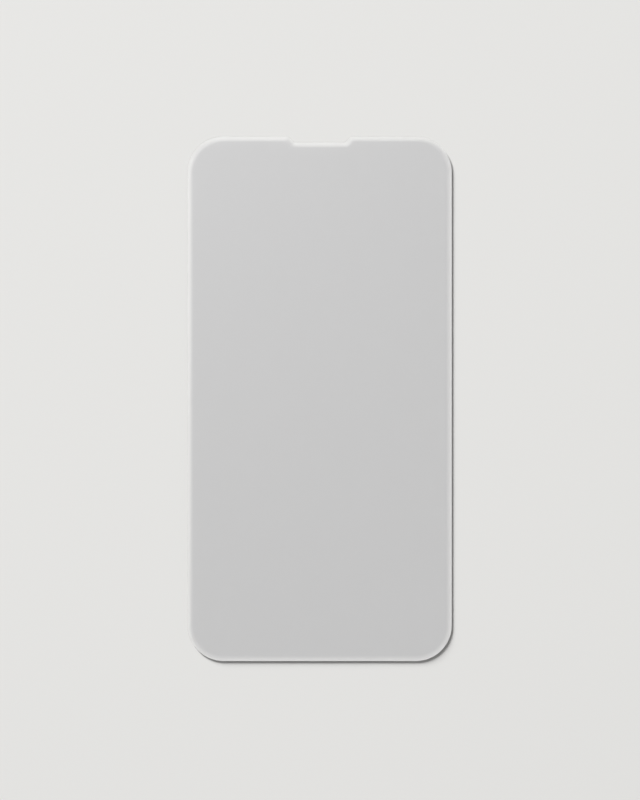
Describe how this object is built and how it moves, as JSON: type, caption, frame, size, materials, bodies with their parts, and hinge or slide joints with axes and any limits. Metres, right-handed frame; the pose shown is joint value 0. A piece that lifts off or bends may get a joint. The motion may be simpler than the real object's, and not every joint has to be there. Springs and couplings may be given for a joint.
{
  "type": "phone screen protector",
  "caption": "Thin rounded-corner sheet of grey-tinted tempered glass with a curved ground edge and a shallow earpiece notch, stuck over a phone's screen.",
  "frame": {"origin": "centre of the flat underside, which sticks to the phone's screen", "axes": "+Z away from the screen, +Y along the sheet towards the earpiece notch, +X to the right seen from above"},
  "size_m": [0.0684, 0.136, 0.0005],
  "materials": {
    "tempered_glass": "satin grey-tinted faces, finely ground and polished edge"
  },
  "bodies": {
    "root": {"screen_protector": "tempered_glass"}
  },
  "joints": []
}
